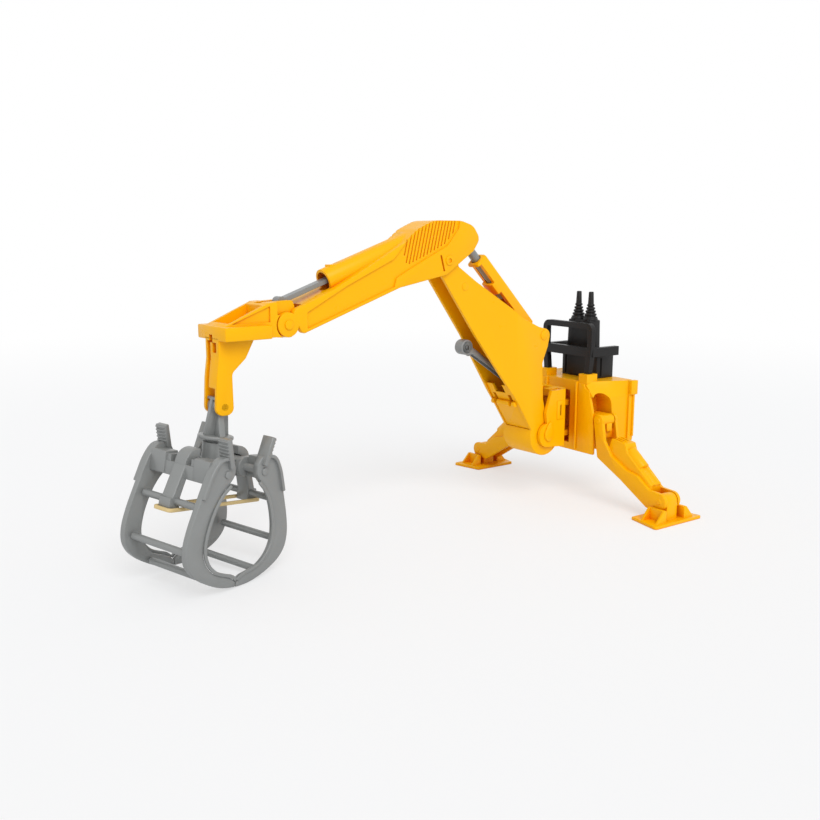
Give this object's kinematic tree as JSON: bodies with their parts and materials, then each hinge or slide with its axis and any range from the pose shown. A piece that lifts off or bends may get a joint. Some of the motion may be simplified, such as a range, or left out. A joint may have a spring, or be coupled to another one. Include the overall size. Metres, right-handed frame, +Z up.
{
  "type": "toy hydraulic timber grapple arm",
  "caption": "Toy rear-mounted hydraulic arm with slewing boom, stick, rotating timber grapple, two outriggers and a guarded lever console.",
  "frame": {"origin": "middle of the whole object's underside, on the floor", "axes": "+X from the base towards the grapple, +Y to the left outrigger, +Z up"},
  "size_m": [0.2928, 0.165, 0.1526],
  "materials": {
    "yellow": "satin moulded",
    "grey": "silver-grey moulded",
    "black": "matt moulded"
  },
  "bodies": {
    "base": {"base_frame": "yellow", "king_pin": "grey", "guard_rail": "black", "lever_console": "black", "lever_boot_left": "black", "lever_boot_right": "black"},
    "post": {"slew_post": "yellow", "boom_foot_pin": "yellow", "lift_rod_pin": "yellow"},
    "boom": {"boom": "yellow", "boom_cover": "yellow", "horn_pin": "yellow"},
    "lift_rod": {"lift_rod": "grey"},
    "stick": {"stick": "yellow", "elbow_pin": "yellow"},
    "cylinder": {"stick_cylinder": "yellow"},
    "piston": {"stick_piston": "grey"},
    "carrier": {"tool_carrier": "yellow", "tip_pin": "yellow", "hanger_pin": "yellow"},
    "tilt_rod": {"tilt_rod": "grey"},
    "hanger": {"hanger": "grey"},
    "grapple": {"grapple_head": "grey", "jaw_pin_left": "grey", "jaw_pin_right": "grey"},
    "jaw_left": {"jaw_arm_left_near": "grey", "jaw_arm_left_far": "grey", "jaw_upper_bar_left": "grey", "jaw_middle_bar_left": "grey", "jaw_lower_bar_left": "grey", "jaw_hub_left": "grey"},
    "outrigger_left": {"outrigger_left": "yellow", "outrigger_pin_left": "yellow", "foot_pin_left": "yellow"},
    "foot_left": {"foot_left": "yellow"},
    "jaw_right": {"jaw_arm_right_near": "grey", "jaw_arm_right_far": "grey", "jaw_upper_bar_right": "grey", "jaw_middle_bar_right": "grey", "jaw_lower_bar_right": "grey", "jaw_hub_right": "grey"},
    "outrigger_right": {"outrigger_right": "yellow", "outrigger_pin_right": "yellow", "foot_pin_right": "yellow"},
    "foot_right": {"foot_right": "yellow"}
  },
  "joints": [
    {"name": "slew", "type": "hinge", "parent": "base", "child": "post", "pos_m": [-0.10679, 0, 0.0435], "axis": [0, 0, 1], "range_deg": [-38.6, 31.4]},
    {"name": "boom_lift", "type": "hinge", "parent": "post", "child": "boom", "pos_m": [-0.08583, 0.00132, 0.038], "axis": [0.0628, -0.998, 0], "range_deg": [-15, 18]},
    {"name": "lift_rod_swing", "type": "hinge", "parent": "post", "child": "lift_rod", "pos_m": [-0.09521, 0.00073, 0.05], "axis": [0.0628, -0.998, 0], "range_deg": [-14.24, 17.09]},
    {"name": "stick_lift", "type": "hinge", "parent": "boom", "child": "stick", "pos_m": [-0.01697, 0.00565, 0.1335], "axis": [0.0628, -0.998, 0], "range_deg": [-30, 20]},
    {"name": "stick_cylinder_swing", "type": "hinge", "parent": "boom", "child": "cylinder", "pos_m": [-0.08284, 0.00151, 0.093], "axis": [0.0628, -0.998, 0], "range_deg": [-0.5, 0.74]},
    {"name": "stick_piston_slide", "type": "slide", "parent": "cylinder", "child": "piston", "axis": [0.7057, 0.0444, 0.7071], "range_m": [-0.00636, 0.00954]},
    {"name": "carrier_tilt", "type": "hinge", "parent": "stick", "child": "carrier", "pos_m": [0.07405, 0.01138, 0.1076], "axis": [0.0628, -0.998, 0], "range_deg": [-30, 30]},
    {"name": "tilt_rod_slide", "type": "slide", "parent": "stick", "child": "tilt_rod", "axis": [0.9431, 0.0593, -0.3273], "range_m": [-0.00469, 0.00469]},
    {"name": "hanger_swing", "type": "hinge", "parent": "carrier", "child": "hanger", "pos_m": [0.10419, 0.01327, 0.07464], "axis": [0.0628, -0.998, 0], "range_deg": [-35, 35]},
    {"name": "grapple_turn", "type": "hinge", "parent": "hanger", "child": "grapple", "pos_m": [0.10649, 0.01342, 0.05921], "axis": [-0.1475, -0.0093, 0.989], "continuous": true},
    {"name": "jaw_open_left", "type": "hinge", "parent": "grapple", "child": "jaw_left", "pos_m": [0.11779, 0.01713, 0.05102], "axis": [0.3389, -0.9399, 0.0417], "range_deg": [0, 38]},
    {"name": "jaw_open_right", "type": "hinge", "parent": "grapple", "child": "jaw_right", "pos_m": [0.09809, 0.00989, 0.04802], "axis": [-0.3389, 0.9399, -0.0417], "range_deg": [0, 38]},
    {"name": "outrigger_fold_left", "type": "hinge", "parent": "base", "child": "outrigger_left", "pos_m": [-0.11479, 0.0295, 0.046], "axis": [1, 0, 0], "range_deg": [0, 95]},
    {"name": "foot_tilt_left", "type": "hinge", "parent": "outrigger_left", "child": "foot_left", "pos_m": [-0.11479, 0.0735, 0.0106], "axis": [1, 0, 0], "range_deg": [-25, 25]},
    {"name": "outrigger_fold_right", "type": "hinge", "parent": "base", "child": "outrigger_right", "pos_m": [-0.11479, -0.0295, 0.046], "axis": [-1, 0, 0], "range_deg": [0, 95]},
    {"name": "foot_tilt_right", "type": "hinge", "parent": "outrigger_right", "child": "foot_right", "pos_m": [-0.11479, -0.0735, 0.0106], "axis": [-1, 0, 0], "range_deg": [-25, 25]}
  ],
  "couplings": [
    {"joint": "lift_rod_swing", "follows": "boom_lift", "ratio": 0.94},
    {"joint": "stick_cylinder_swing", "follows": "stick_lift", "ratio": -0.024583},
    {"joint": "stick_piston_slide", "follows": "stick_lift", "m_per_rad": -0.018031},
    {"joint": "tilt_rod_slide", "follows": "carrier_tilt", "m_per_rad": -0.008875}
  ]
}
